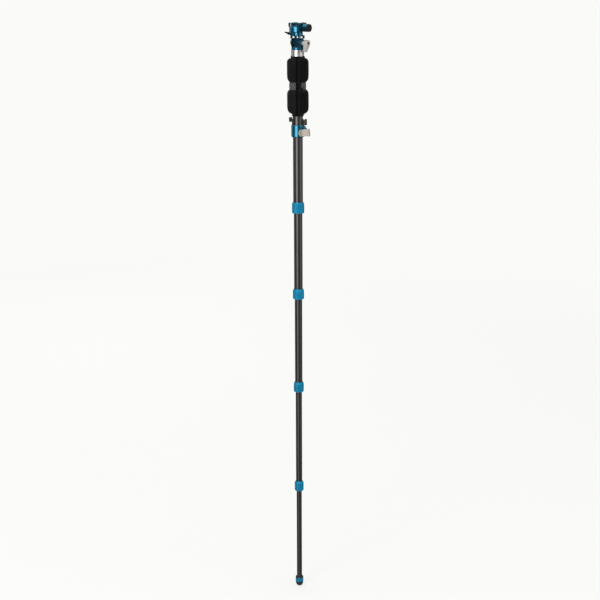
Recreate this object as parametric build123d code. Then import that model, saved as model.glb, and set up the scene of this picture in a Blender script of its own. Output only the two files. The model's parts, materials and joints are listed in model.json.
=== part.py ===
import os
from math import cos, radians, sin

from build123d import *

os.makedirs("parts", exist_ok=True)

# Camera monopod in millimetres. The origin is on the leg's axis where the rubber foot meets the ground, +Z up.
# The tilt axis and the clamp knob lie along X, and the camera groove runs along Y.

# Clearances shared by every fit
running_gap = 0.06      # radial gap of a turning or sliding fit
thread_gap = 0.05       # radial gap of a thread, drawn as plain cylinders
seat_gap = 0.3          # end gap between pieces that move past each other
overrun = 1.0           # how far every cutting tool passes the faces it cuts

# Leg tubes, from the thickest under the handle to the thinnest at the foot
tube_radii = [16.0, 14.25, 12.5, 10.75, 9.0]
tube_wall = 1.2
tube_overlap = 60.0     # what stays inside the next tube up, above its lock
leg_top = 1624.0        # upper end of the thickest tube

# Twist locks, one on the lower end of each of the four upper tubes
collar_bottoms = [1362.6, 1069.4, 739.0, 370.8]
collar_heights = [36.5, 34.4, 34.9, 35.3]
collar_radii = [20.3, 18.8, 17.1, 15.6]
collar_facets = 12
collar_groove_radius = 0.8
collar_top_chamfer = 7.0
collar_top_land = 1.2
collar_bottom_chamfer = 1.2
lock_tube_seat = 13.0   # height of the outer tube's end above the collar's bottom
ferrule_wall = 1.7
ferrule_foot = 8.0
ferrule_step = 0.6
ferrule_cover = 6.0     # collar height left above the ferrule
collet_foot = 3.7
collet_slit = 2.0
seal_foot = 0.6
seal_height = 2.6
seal_wall = 1.0
bush_height = 30.0

# Foot
foot_radius = 13.8
foot_tread_radius = 4.5
foot_dome_height = 16.8
foot_dome_inset = 0.3
foot_ring_top = 31.7
foot_rim_top = 34.8
foot_rim_inset = 0.25
foot_rim_chamfer = 1.6
foot_edge = 0.8
foot_plug_top = 62.0
foot_plug_foot = 18.8
foot_stud_radius = 4.76
foot_stud_bottom = 5.0

# Swivel under the handle: split collar, lever, screw and nut
swivel_bottom = 1614.0
swivel_top = 1653.0
swivel_radius = 21.3
swivel_chamfer = 2.2
swivel_lug_half = 6.7
swivel_lug_bottom = 1621.0
swivel_lug_shoulder = 1636.0
swivel_lug_top = 1650.5
swivel_lug_step = 25.0
swivel_lug_end = 37.0
swivel_lug_corner = 6.0
swivel_slit = 1.6
swivel_slit_bottom = 1617.5
swivel_screw_x = 28.0
swivel_screw_z = 1630.0
swivel_screw_radius = 2.5
swivel_screw_grip = 8.0
swivel_nut_radius = 5.0
swivel_nut_height = 3.5
snap_groove_z = 1645.0
snap_ring_height = 1.2
snap_ring_depth = 0.55
snap_ring_gap = 4.0

# Clamp levers: a broad one on the swivel, and a slim one with a neck on the tilt head
lever_hub_height = 13.5
swivel_lever_length = 25.0
swivel_lever_rise = 7.0
tilt_lever_length = 28.0
lever_end_thickness = 6.0
lever_crank = 2.5
lever_corner = 2.5
lever_edge = 1.0
swivel_lever_hub_radius = 11.2
swivel_lever_waist_half = 11.0
swivel_lever_crank_start = 16.0
swivel_lever_end_half = 12.6
tilt_lever_hub_radius = 10.4
tilt_lever_waist_half = 8.6
tilt_lever_end_half = 5.6
tilt_lever_neck_radius = 7.4
tilt_lever_socket_radius = 5.2

# Handle
handle_radius = 16.65
handle_wall = 1.65
handle_bore = handle_radius - handle_wall
handle_top = 1873.0
ferrule_height = 18.0
ferrule_top = handle_top + ferrule_height
ferrule_lap = 2.0
ferrule_bottom = handle_top - ferrule_lap
ferrule_wall_outside = 3.85
ferrule_radius = handle_radius + ferrule_wall_outside
ferrule_edge = 0.8
ferrule_plug_depth = 24.0
stud_radius = 4.76
stud_depth = 14.0
stud_bottom = ferrule_top - stud_depth
stud_length = 20.0

# Padded grip and the direction that its seam faces
front_angle = -53.0
grip_bottom = 1682.0
waist_bottom = 1767.0
waist_top = 1788.0
grip_top_gap = 0.3
grip_top = ferrule_bottom - grip_top_gap
waist_thickness = 9.2
crown_thickness = 17.1
grip_bottom_hem_thickness = 2.2
grip_top_hem_thickness = 3.95
waist_radius = handle_radius + waist_thickness
crown_radius = handle_radius + crown_thickness
grip_bottom_end_radius = handle_radius + grip_bottom_hem_thickness
grip_top_end_radius = handle_radius + grip_top_hem_thickness
hem_height = 6.2
long_shoulder = 31.0
short_shoulder = 22.0
waist_height_shares = [0.2, 0.38, 0.58]
waist_rise_shares = [0.35, 0.68, 0.885]
hem_height_shares = [0.12, 0.3, 0.55]
hem_rise_shares = [0.45, 0.75, 0.93]
flap_thickness = 0.8
flap_arc = 125.0
flap_lead = 8.0
flap_seam_offset = -1.0
flap_corner = 14.0
flap_strip_width = 10.0
flap_window_corner = 4.0
flap_margin = 2.0

# Strap clip round the back of the handle tube
clip_bottom = 1653.6
clip_top = 1671.0
clip_wall = 2.4
clip_opening = 96.0
clip_lug_rise = 5.85
clip_lug_reach = handle_radius + clip_lug_rise
clip_lug_half = 2.0
tab_bottom = 1662.5
tab_top = 1677.5
tab_length = 6.0
tab_reach = clip_lug_reach + tab_length
tab_half = 1.3
tab_root = 1.5
tab_corner = 1.8
clip_boss_radius = 7.2
clip_boss_rise = 4.15
clip_boss_reach = handle_radius + clip_boss_rise
strap_screw_z = 1661.2
strap_head_radius = 10.0
strap_head_thickness = 8.6
strap_head_end = clip_boss_reach + seat_gap + strap_head_thickness
strap_head_edge = 1.8
strap_screw_radius = 2.0
strap_screw_tip_gap = 0.75
strap_screw_tip = handle_radius + strap_screw_tip_gap

# Tilt head, with heights above its base
head_base = ferrule_top
yoke_radius = 19.5
yoke_base_height = 7.6
tilt_height = 22.0
arm_inner = 13.0
arm_outer = 19.5
arm_radius = 13.3
slot_corner = 5.0
flare_bottom = 10.0
flare_top = 26.0
flare_radius = 24.2
yoke_boss_radius = 8.0
yoke_boss_reach = 21.0
tilt_lever_start = 29.9
tongue_radius = 13.4
tongue_half = 8.0
tongue_half_depth = 7.5
washer_clearance = 0.05
washer_radius = 7.0
cage_bottom = 35.5
cage_floor_top = 36.6
window_half_width = 12.6
window_half_depth = 9.6
window_corner = 2.8
plate_bottom = 43.2
plate_top = 46.0
plate_corner = 2.0
housing_top = 56.0
housing_radius = 17.2
housing_edge = 1.2
axle_radius = 4.0
axle_tip = 39.6
axle_head_radius = 7.5
axle_head_height = 3.0
axle_socket_radius = 2.9
axle_socket_depth = 2.0

# Panning body with the fixed jaw, with heights above the head's base
pan_bottom = 56.3
pan_top = 73.5
pan_radius = 26.0
pan_edge = 1.0
pan_flat_x = 14.0
spindle_radius = 10.0
spindle_foot = 47.5
spindle_clearance = 0.5
pan_groove_z = 53.3
pan_ring_height = 1.2
pan_ring_depth = 0.8
jaw_half_length = 21.8
jaw_top = 84.7
jaw_lip_bottom = 81.0
jaw_outer = 22.0
fixed_lip_x = -16.5
moving_lip_x = 9.0
dovetail_undercut = 3.5
jaw_corner = 3.5
jaw_edge = 0.6
jaw_foot = 60.0
stop_pin_radius = 2.4
stop_pin_x = -11.5
stop_pin_height = 10.3
stop_pin_root = 3.4
stop_pin_inset = 2.9
jaw_pin_radius = 2.0
jaw_pin_rise = 2.3
jaw_pin_depth = 3.0
jaw_pin_inset = 2.6
jaw_pin_half_spacing = 13.0

# Clamp knob, its screw and the jaw's guide rods
knob_z = 69.8
knob_start = 27.0
knob_waist_radius = 8.0
knob_radius = 12.4
knob_split = 43.0
knob_end = 48.8
knob_grip_radius = 12.2
knob_ribs = 20
knob_rib_radius = 0.9
knob_edge = 0.8
jaw_screw_radius = 3.0
jaw_screw_tip = -8.0
jaw_screw_in_knob = 14.0
guide_radius = 2.0
guide_half_spacing = 13.0
guide_tip = -6.0

# Small lever that locks the panning, at the left of the housing
lock_z = 50.5
lock_boss_radius = 5.4
lock_boss_reach = 30.0
lock_hub_end = 36.0
lock_screw_radius = 2.5
lock_arm_length = 20.4
lock_arm_thickness = 3.4
lock_arm_root_half = 3.6
lock_arm_tip_half = 1.5
lock_arm_rise = 4.9
lock_hub_radius = 4.6

tilt_z = head_base + tilt_height
up = (Align.CENTER, Align.CENTER, Align.MIN)


def rod(radius, z0, z1):
    return Pos(0, 0, z0) * Cylinder(radius, z1 - z0, align=up)


def ring(outer, inner, z0, z1):
    return rod(outer, z0, z1) - rod(inner, z0 - overrun, z1 + overrun)


def turned(points):
    return revolve(Plane.XZ * make_face(Polyline(*points, close=True)), Axis.Z)


def block(x0, x1, y0, y1, z0, z1):
    low = (Align.MIN, Align.MIN, Align.MIN)
    return Pos(x0, y0, z0) * Box(x1 - x0, y1 - y0, z1 - z0, align=low)


def x_rod(radius, x0, x1, y, z):
    return Pos(x0, y, z) * Rot(0, 90, 0) * Cylinder(radius, x1 - x0, align=up)


def y_rod(radius, x, y0, y1, z):
    return Pos(x, y0, z) * Rot(-90, 0, 0) * Cylinder(radius, y1 - y0, align=up)


def facing(angle, solid):
    """Turn a solid modelled along +X to a direction measured from the grip's front, positive to its right."""
    return Rot(0, 0, front_angle + angle) * solid


def save(shape, name):
    export_step(shape, f"parts/{name}.step")


# Leg tubes and twist locks

def tube_bottom(index):
    if index == len(collar_bottoms):
        return foot_plug_foot
    return collar_bottoms[index] + lock_tube_seat


def tube_top(index):
    if index == 0:
        return leg_top
    return collar_bottoms[index - 1] + collar_heights[index - 1] + tube_overlap


def leg_tube(index):
    radius = tube_radii[index]
    return ring(radius, radius - tube_wall, tube_bottom(index), tube_top(index))


def ferrule_outer(index):
    return tube_radii[index] + ferrule_wall


def ferrule_end(index):
    return collar_bottoms[index] + collar_heights[index] - ferrule_cover


def lock_collar(index):
    bottom = collar_bottoms[index]
    top = bottom + collar_heights[index]
    radius = collar_radii[index]
    outside = turned([
        (0, bottom),
        (radius - collar_bottom_chamfer, bottom),
        (radius, bottom + collar_bottom_chamfer),
        (radius, top - collar_top_chamfer),
        (tube_radii[index] + collar_top_land, top),
        (0, top),
    ])
    facet_prism = extrude(RegularPolygon(radius, collar_facets), collar_heights[index])
    grown = 2 / (1 + cos(radians(180 / collar_facets)))
    collar = outside & (Pos(0, 0, bottom) * scale(facet_prism, (grown, grown, 1)))
    for step in range(collar_facets):
        groove = Pos(radius, 0, bottom - overrun) * Cylinder(collar_groove_radius, collar_heights[index], align=up)
        collar -= Rot(0, 0, step * 360 / collar_facets) * groove
    mouth = rod(tube_radii[index + 1] + seat_gap + seal_wall, bottom - overrun, bottom + collet_foot)
    body_bore = rod(ferrule_outer(index) + running_gap, bottom + collet_foot - seat_gap, ferrule_end(index) + seat_gap)
    top_bore = rod(tube_radii[index] + running_gap, bottom, top + overrun)
    return collar - mouth - body_bore - top_bore.intersect(rod(radius, ferrule_end(index), top + overrun))


def lock_ferrule(index):
    bottom = collar_bottoms[index] + ferrule_foot
    radius = tube_radii[index]
    seat = collar_bottoms[index] + lock_tube_seat
    body = ring(ferrule_outer(index), radius - ferrule_step, bottom, ferrule_end(index))
    return body - rod(radius, seat, ferrule_end(index) + overrun)


def lock_collet(index):
    bottom = collar_bottoms[index] + collet_foot
    flange_top = collar_bottoms[index] + ferrule_foot - running_gap
    top = collar_bottoms[index] + lock_tube_seat - seat_gap
    inner = tube_radii[index + 1] + running_gap
    flange = ferrule_outer(index) - seat_gap
    sleeve = tube_radii[index] - ferrule_step - running_gap
    collet = rod(flange, bottom, flange_top) + rod(sleeve, bottom, top)
    collet -= rod(inner, bottom - overrun, top + overrun)
    slit = block(0, flange + overrun, -collet_slit / 2, collet_slit / 2, bottom - overrun, top + overrun)
    return collet - slit


def dust_seal(index):
    bottom = collar_bottoms[index] + seal_foot
    inner = tube_radii[index + 1] + seat_gap
    return ring(inner + seal_wall, inner, bottom, bottom + seal_height)


def guide_bush(index):
    top = tube_top(index + 1)
    bore = tube_radii[index] - tube_wall
    return ring(bore - running_gap, tube_radii[index + 1], top - bush_height, top)


def make_leg():
    for index in range(len(tube_radii)):
        save(leg_tube(index), f"leg_tube_{index + 1}")
    for index in range(len(collar_bottoms)):
        number = index + 1
        save(lock_collar(index), f"lock_collar_{number}")
        save(lock_ferrule(index), f"lock_ferrule_{number}")
        save(lock_collet(index), f"lock_collet_{number}")
        save(dust_seal(index), f"dust_seal_{number}")
        save(guide_bush(index), f"guide_bush_{number}")


# Foot

def rubber_foot():
    radius = foot_radius - foot_dome_inset
    with BuildSketch(Plane.XZ) as section:
        with BuildLine():
            Line((0, 0), (foot_tread_radius, 0))
            EllipticalCenterArc((foot_tread_radius, foot_dome_height), radius - foot_tread_radius, foot_dome_height,
                                start_angle=270, arc_size=90)
            Polyline((radius, foot_dome_height), (0, foot_dome_height), (0, 0))
        make_face()
    dome = revolve(section.sketch, Axis.Z)
    return dome - rod(foot_stud_radius + thread_gap, foot_stud_bottom - thread_gap, foot_dome_height + overrun)


def foot_ring():
    body = ring(foot_radius, tube_radii[-1], foot_dome_height, foot_ring_top)
    return chamfer(body.edges().filter_by(GeomType.CIRCLE).group_by(Axis.Z)[0].sort_by(SortBy.LENGTH)[-1], foot_edge)


def foot_rim():
    radius = foot_radius - foot_rim_inset
    body = ring(radius, tube_radii[-1], foot_ring_top, foot_rim_top)
    outer_edge = body.edges().filter_by(GeomType.CIRCLE).group_by(Axis.Z)[-1].sort_by(SortBy.LENGTH)[-1]
    return chamfer(outer_edge, foot_rim_chamfer)


def foot_plug():
    plug = rod(tube_radii[-1] - tube_wall, foot_plug_foot, foot_plug_top)
    flange = rod(tube_radii[-1], foot_dome_height, foot_plug_foot)
    return plug + flange + rod(foot_stud_radius, foot_stud_bottom, foot_plug_foot)


def make_foot():
    save(rubber_foot(), "rubber_foot")
    save(foot_ring(), "foot_ring")
    save(foot_rim(), "foot_rim")
    save(foot_plug(), "foot_plug")


# Clamp levers

def clamp_lever(hub_radius, waist_half, end_half, length, crank_start):
    """A lever along +X that turns about +Z, with its hub's inner face at the origin."""
    reach = hub_radius + overrun
    plan = make_face(Polyline(
        (0, -waist_half),
        (hub_radius, -waist_half),
        (length, -end_half),
        (length, end_half),
        (hub_radius, waist_half),
        (0, waist_half),
        close=True,
    ))
    corners = plan.vertices().group_by(Axis.X)[-1]
    outline = fillet(corners, lever_corner) + Circle(hub_radius)
    body = Pos(0, 0, -lever_crank) * extrude(outline, lever_hub_height + lever_crank)
    side = make_face(Polyline(
        (-reach, 0),
        (crank_start, 0),
        (length + overrun, -lever_crank),
        (length + overrun, lever_end_thickness - lever_crank),
        (hub_radius / 2, lever_hub_height),
        (-reach, lever_hub_height),
        close=True,
    ))
    slab = extrude(Plane.XZ * side, end_half + hub_radius, both=True)
    lever = body & slab
    ridge = Vector(hub_radius / 2, 0, lever_hub_height)
    outer_faces = lever.faces().sort_by(Axis.Z)[-2:]
    rim = [edge for edge in outer_faces.edges() if (edge.center() - ridge).length > lever_edge]
    return fillet(rim, lever_edge)


# Swivel collar under the handle

def swivel_collar():
    outside = turned([
        (0, swivel_bottom),
        (swivel_radius - swivel_chamfer, swivel_bottom),
        (swivel_radius, swivel_bottom + swivel_chamfer),
        (swivel_radius, swivel_top - swivel_chamfer / 2),
        (swivel_radius - swivel_chamfer / 2, swivel_top),
        (0, swivel_top),
    ])
    lug = make_face(Polyline(
        (0, swivel_lug_bottom),
        (swivel_lug_end, swivel_lug_bottom),
        (swivel_lug_end, swivel_lug_shoulder),
        (swivel_lug_step, swivel_lug_top),
        (0, swivel_lug_top),
        close=True,
    ))
    lug = fillet(lug.vertices().filter_by_position(Axis.X, swivel_radius, swivel_lug_end), swivel_lug_corner)
    lug = extrude(Plane.XZ * lug, swivel_lug_half, both=True)
    pocket_radius = swivel_lever_hub_radius + seat_gap
    pocket = y_rod(pocket_radius, swivel_screw_x, -swivel_radius, -swivel_lug_half, swivel_screw_z)
    collar = outside + lug - pocket
    collar -= rod(tube_radii[0], swivel_bottom - overrun, swivel_top + overrun)
    collar -= rod(handle_radius + running_gap, leg_top, swivel_top + overrun)
    half = swivel_slit / 2
    reach = swivel_lug_end + overrun
    collar -= block(0, reach, -half, half, swivel_slit_bottom, swivel_top + overrun)
    hole = swivel_screw_radius + running_gap
    collar -= y_rod(hole, swivel_screw_x, -swivel_lug_half - overrun, swivel_lug_half + overrun, swivel_screw_z)
    groove_top = snap_groove_z + snap_ring_height + running_gap
    groove_radius = handle_radius + snap_ring_depth + running_gap
    return collar - rod(groove_radius, snap_groove_z - running_gap, groove_top)


def swivel_nut():
    start = swivel_lug_half
    body = y_rod(swivel_nut_radius, swivel_screw_x, start, start + swivel_nut_height, swivel_screw_z)
    flat = swivel_nut_radius * cos(radians(30))
    body &= block(swivel_screw_x - swivel_nut_radius, swivel_screw_x + swivel_nut_radius, 0,
                  start + swivel_nut_height, swivel_screw_z - flat, swivel_screw_z + flat)
    bore_end = start + swivel_nut_height + overrun
    return body - y_rod(swivel_screw_radius + thread_gap, swivel_screw_x, 0, bore_end, swivel_screw_z)


def swivel_screw():
    start = -swivel_lug_half - seat_gap - swivel_screw_grip
    end = swivel_lug_half + swivel_nut_height
    return y_rod(swivel_screw_radius, swivel_screw_x, start, end, swivel_screw_z)


def swivel_lever():
    place = Plane(origin=(swivel_screw_x, -swivel_lug_half - seat_gap, swivel_screw_z), x_dir=(1, 0, 0),
                  z_dir=(0, -1, 0))
    lever = clamp_lever(swivel_lever_hub_radius, swivel_lever_waist_half, swivel_lever_end_half,
                        swivel_lever_length, swivel_lever_crank_start)
    lever = Rot(0, 0, swivel_lever_rise) * lever
    return place.location * (lever - rod(swivel_screw_radius, -overrun, swivel_screw_grip))


def snap_ring():
    outer = handle_radius + snap_ring_depth
    inner = handle_radius - snap_ring_depth
    body = ring(outer, inner, snap_groove_z, snap_groove_z + snap_ring_height)
    half = snap_ring_gap / 2
    return body - block(-outer - overrun, 0, -half, half, snap_groove_z - overrun, swivel_top)


def make_swivel():
    save(swivel_collar(), "swivel_collar")
    save(swivel_nut(), "swivel_nut")
    save(swivel_screw(), "swivel_screw")
    save(swivel_lever(), "swivel_lever")
    save(snap_ring(), "swivel_snap_ring")


# Handle

def handle_tube():
    tube = ring(handle_radius, handle_bore, leg_top + seat_gap, handle_top)
    groove = rod(handle_radius + overrun, snap_groove_z, snap_groove_z + snap_ring_height)
    return tube - (groove - rod(handle_radius - snap_ring_depth, swivel_bottom, swivel_top))


def top_ferrule():
    body = rod(ferrule_radius, ferrule_bottom, ferrule_top)
    rims = body.edges().filter_by(GeomType.CIRCLE)
    body = chamfer(rims, ferrule_edge)
    body -= rod(handle_radius, ferrule_bottom - overrun, handle_top)
    body += rod(handle_bore, ferrule_bottom - ferrule_plug_depth, handle_top)
    return body - rod(stud_radius, stud_bottom, ferrule_top + overrun)


def mounting_stud():
    return rod(stud_radius, stud_bottom, stud_bottom + stud_length)


def shoulder_points(end_radius, end_z, crown, crown_z, height_shares, rise_shares):
    """Places up a pad's shoulder, from its end to its crown."""
    rise = crown - end_radius
    height = crown_z - end_z
    points = [(end_radius, end_z)]
    for height_share, rise_share in zip(height_shares, rise_shares):
        points.append((end_radius + rise * rise_share, end_z + height * height_share))
    points.append((crown, crown_z))
    return points


def pad_section(hem_radius, hem_z, hem_crown_z, waist_z, waist_crown_z, growth):
    """Half a pad's section: a straight hem at its open end, two shoulders and a straight crown."""
    crown = crown_radius + growth
    hem_end = hem_z + hem_height if hem_z < waist_z else hem_z - hem_height
    outer = hem_radius + growth
    open_end = shoulder_points(outer, hem_end, crown, hem_crown_z, hem_height_shares, hem_rise_shares)
    waist_end = shoulder_points(waist_radius + growth, waist_z, crown, waist_crown_z, waist_height_shares,
                                waist_rise_shares)
    with BuildSketch() as section:
        with BuildLine():
            Spline(*open_end)
            Line(open_end[-1], waist_end[-1])
            Spline(*waist_end)
            Polyline(waist_end[0], (handle_radius, waist_z), (handle_radius, hem_z), (outer, hem_z), open_end[0])
        make_face()
    return section.sketch


def lower_pad_section(growth):
    return pad_section(grip_bottom_end_radius, grip_bottom, grip_bottom + long_shoulder, waist_bottom,
                       waist_bottom - short_shoulder, growth)


def upper_pad_section(growth):
    return pad_section(grip_top_end_radius, grip_top, grip_top - short_shoulder, waist_top,
                       waist_top + long_shoulder, growth)


def flap_outline():
    """The wrapped flap as seen from the grip's front: its free edge, rounded corners and waist window."""
    reach = crown_radius + flap_margin
    width = reach - flap_seam_offset
    height = grip_top - grip_bottom
    panel = Rectangle(width, height, align=(Align.MIN, Align.MIN))
    panel = fillet(panel.vertices().group_by(Axis.X)[0], flap_corner)
    window_width = width - flap_strip_width
    window = Rectangle(window_width + overrun, waist_top - waist_bottom, align=(Align.MIN, Align.MIN))
    window = fillet(window.vertices().group_by(Axis.X)[0], flap_window_corner)
    panel -= Pos(flap_strip_width, waist_bottom - grip_bottom) * window
    return Pos(flap_seam_offset, grip_bottom) * panel


def grip_flap():
    skin = Pos(waist_radius + seat_gap, waist_bottom) * Rectangle(
        flap_thickness, waist_top - waist_bottom, align=(Align.MIN, Align.MIN))
    skin += lower_pad_section(seat_gap + flap_thickness) - lower_pad_section(seat_gap)
    skin += upper_pad_section(seat_gap + flap_thickness) - upper_pad_section(seat_gap)
    shell = Rot(0, 0, -flap_lead) * revolve(Plane.XZ * skin, Axis.Z, revolution_arc=flap_arc)
    front = Plane(origin=(0, 0, 0), x_dir=(0, 1, 0), z_dir=(1, 0, 0))
    cutter = extrude(front * flap_outline(), crown_radius + flap_margin, both=True)
    return facing(0, shell & cutter)


def make_handle():
    save(handle_tube(), "handle_tube")
    save(top_ferrule(), "top_ferrule")
    save(mounting_stud(), "mounting_stud")
    save(revolve(Plane.XZ * lower_pad_section(0), Axis.Z), "grip_lower_pad")
    save(revolve(Plane.XZ * upper_pad_section(0), Axis.Z), "grip_upper_pad")
    save(ring(waist_radius, handle_radius, waist_bottom, waist_top), "grip_waist_band")
    save(grip_flap(), "grip_flap")


# Strap clip: the tab is at the grip's left, the thumb screw at its right

def strap_clip():
    outer = handle_radius + clip_wall
    body = ring(outer, handle_radius, clip_bottom, clip_top)
    half = clip_opening / 2
    wedge = make_face(Polyline(
        (0, 0),
        (2 * outer, -2 * outer * sin(radians(half)) / cos(radians(half))),
        (2 * outer, 2 * outer * sin(radians(half)) / cos(radians(half))),
        close=True,
    ))
    body -= Pos(0, 0, clip_bottom - overrun) * extrude(wedge, clip_top - clip_bottom + 2 * overrun)
    lug = block(handle_radius + clip_wall / 2, clip_lug_reach, -clip_lug_half, clip_lug_half, tab_bottom, tab_top)
    lug -= block(clip_lug_reach - tab_root, clip_lug_reach, -tab_half, tab_half, tab_bottom, tab_top)
    boss = x_rod(clip_boss_radius, handle_radius + clip_wall / 2, clip_boss_reach, 0, strap_screw_z)
    hole = x_rod(strap_screw_radius + thread_gap, 0, clip_boss_reach + overrun, 0, strap_screw_z)
    body += Rot(0, 0, -90) * lug
    body += Rot(0, 0, 90) * boss
    return facing(0, body - Rot(0, 0, 90) * hole)


def strap_tab():
    plate = block(clip_lug_reach - tab_root, tab_reach, -tab_half, tab_half, tab_bottom, tab_top)
    plate = fillet(plate.edges().filter_by(Axis.Y).sort_by(Axis.X)[-2:], tab_corner)
    return facing(-90, plate)


def strap_screw():
    head = x_rod(strap_head_radius, clip_boss_reach + seat_gap, strap_head_end, 0, strap_screw_z)
    head = fillet(head.edges().filter_by(GeomType.CIRCLE), strap_head_edge)
    shank = x_rod(strap_screw_radius, strap_screw_tip, clip_boss_reach + strap_head_edge, 0, strap_screw_z)
    return facing(90, head + shank)


def make_strap_clip():
    save(strap_clip(), "strap_clip")
    save(strap_tab(), "strap_tab")
    save(strap_screw(), "strap_screw")


# Tilt head

def head_yoke():
    arms = x_rod(arm_radius, -arm_outer, arm_outer, 0, tilt_z)
    arms += block(-arm_outer, arm_outer, -arm_radius, arm_radius, head_base, tilt_z)
    arms &= turned([
        (0, head_base),
        (yoke_radius, head_base),
        (yoke_radius, head_base + flare_bottom),
        (flare_radius, head_base + flare_top),
        (flare_radius, tilt_z + arm_radius),
        (0, tilt_z + arm_radius),
    ])
    slot = block(-arm_inner, arm_inner, -flare_radius, flare_radius, head_base + yoke_base_height,
                 tilt_z + arm_radius + overrun)
    slot = fillet(slot.edges().filter_by(Axis.Y).group_by(Axis.Z)[0], slot_corner)
    boss = x_rod(yoke_boss_radius, arm_outer - overrun, yoke_boss_reach, 0, tilt_z)
    yoke = rod(yoke_radius, head_base, head_base + yoke_base_height) + arms - slot + boss
    yoke -= x_rod(axle_radius + running_gap, -arm_outer - overrun, yoke_boss_reach + overrun, 0, tilt_z)
    stud_top = stud_bottom + stud_length + thread_gap
    return yoke - rod(stud_radius + thread_gap, head_base - overrun, stud_top)


def window(half, direction):
    """A round-ended opening through the cage along one of its sides."""
    reach = arm_outer + overrun
    low = head_base + cage_floor_top
    high = head_base + plate_bottom
    if direction == Axis.Y:
        opening = block(-half, half, -reach, reach, low, high)
    else:
        opening = block(-reach, reach, -half, half, low, high)
    return fillet(opening.edges().filter_by(direction), window_corner)


def tilt_block():
    tongue = x_rod(tongue_radius, -tongue_half, tongue_half, 0, tilt_z)
    tongue += block(-tongue_half, tongue_half, -tongue_half_depth, tongue_half_depth, tilt_z, head_base + cage_floor_top)
    depth = tongue_half_depth
    tongue &= block(-tongue_half, tongue_half, -depth, depth, head_base, head_base + cage_floor_top)
    cage = block(-arm_outer, arm_outer, -arm_radius, arm_radius, head_base + cage_bottom, head_base + plate_top)
    cage = fillet(cage.edges().filter_by(Axis.Z), plate_corner)
    cage = cage - window(window_half_width, Axis.Y) - window(window_half_depth, Axis.X)
    housing = rod(housing_radius, head_base + plate_top, head_base + housing_top)
    housing = chamfer(housing.edges().group_by(Axis.Z)[-1], housing_edge)
    boss = x_rod(lock_boss_radius, -lock_boss_reach, 0, 0, head_base + lock_z)
    tilting = tongue + cage + housing + boss
    tilting -= x_rod(axle_radius + running_gap, -tongue_half - overrun, tongue_half + overrun, 0, tilt_z)
    spindle_hole = rod(spindle_radius + running_gap, head_base + spindle_foot - spindle_clearance,
                       head_base + housing_top + overrun)
    groove_top = head_base + pan_groove_z + pan_ring_height + running_gap
    groove = rod(spindle_radius + pan_ring_depth, head_base + pan_groove_z - running_gap, groove_top)
    lock_hole = x_rod(lock_screw_radius + thread_gap, -lock_boss_reach - overrun, 0, 0, head_base + lock_z)
    return tilting - spindle_hole - groove - lock_hole


def tilt_axle():
    shaft = x_rod(axle_radius, -arm_outer, axle_tip, 0, tilt_z)
    head = x_rod(axle_head_radius, -arm_outer - axle_head_height, -arm_outer, 0, tilt_z)
    head = chamfer(head.edges().filter_by(GeomType.CIRCLE).sort_by(Axis.X)[0], ferrule_edge)
    socket_plane = Plane(origin=(-arm_outer - axle_head_height, 0, tilt_z), x_dir=(0, 1, 0), z_dir=(1, 0, 0))
    socket = extrude(socket_plane * RegularPolygon(axle_socket_radius, 6), axle_socket_depth)
    return shaft + head - socket


def tilt_washers():
    thickness = arm_inner - tongue_half - 2 * washer_clearance
    start = tongue_half + washer_clearance
    washer = x_rod(washer_radius, start, start + thickness, 0, tilt_z)
    washer -= x_rod(axle_radius + running_gap, 0, arm_outer, 0, tilt_z)
    return Compound([washer, mirror(washer, Plane.YZ)])


def tilt_lever():
    place = Plane(origin=(tilt_lever_start, 0, tilt_z), x_dir=(0, 0, -1), z_dir=(1, 0, 0))
    neck_start = yoke_boss_reach + seat_gap - tilt_lever_start
    lever = clamp_lever(tilt_lever_hub_radius, tilt_lever_waist_half, tilt_lever_end_half,
                        tilt_lever_length, tilt_lever_waist_half)
    lever += rod(tilt_lever_neck_radius, neck_start, lever_hub_height / 2)
    lever -= rod(axle_radius, neck_start - overrun, lever_hub_height)
    socket_floor = axle_tip - tilt_lever_start
    return place.location * (lever - rod(tilt_lever_socket_radius, socket_floor, lever_hub_height + overrun))


def lock_lever():
    start = -lock_hub_end
    z = head_base + lock_z
    hub = x_rod(lock_hub_radius, start, -lock_boss_reach - seat_gap, 0, z)
    side = Plane(origin=(start, 0, 0), x_dir=(0, 1, 0), z_dir=(1, 0, 0))
    tip_z = z + lock_arm_rise
    tip_y = -lock_arm_length
    arm = make_face(Polyline(
        (0, z - lock_arm_root_half),
        (tip_y, tip_z - lock_arm_tip_half),
        (tip_y, tip_z + lock_arm_tip_half),
        (0, z + lock_arm_root_half),
        close=True,
    ))
    arm = extrude(side * arm, lock_arm_thickness)
    lever = hub + arm
    return lever - x_rod(lock_screw_radius, start + lock_arm_thickness, 0, 0, z)


def lock_screw():
    tip = -spindle_radius - seat_gap
    return x_rod(lock_screw_radius, -lock_hub_end + lock_arm_thickness, tip, 0, head_base + lock_z)


def pan_retaining_ring():
    z0 = head_base + pan_groove_z
    outer = spindle_radius + pan_ring_depth - running_gap
    inner = spindle_radius - pan_ring_depth + running_gap
    body = ring(outer, inner, z0, z0 + pan_ring_height)
    half = snap_ring_gap / 2
    return body - block(0, outer + overrun, -half, half, z0 - overrun, z0 + pan_ring_height + overrun)


def make_tilt_head():
    save(head_yoke(), "head_yoke")
    save(tilt_block(), "tilt_block")
    save(tilt_axle(), "tilt_axle")
    save(tilt_washers(), "tilt_washers")
    save(tilt_lever(), "tilt_lever")
    save(lock_lever(), "pan_lock_lever")
    save(lock_screw(), "pan_lock_screw")
    save(pan_retaining_ring(), "pan_retaining_ring")


# Panning body and dovetail clamp

def jaw_blank(x0, x1, z0, z1):
    blank = block(x0, x1, -jaw_half_length, jaw_half_length, z0, z1)
    outer = blank.edges().filter_by(Axis.Z).group_by(Axis.X)[0 if x0 < 0 else -1]
    return chamfer(outer, jaw_corner)


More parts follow.
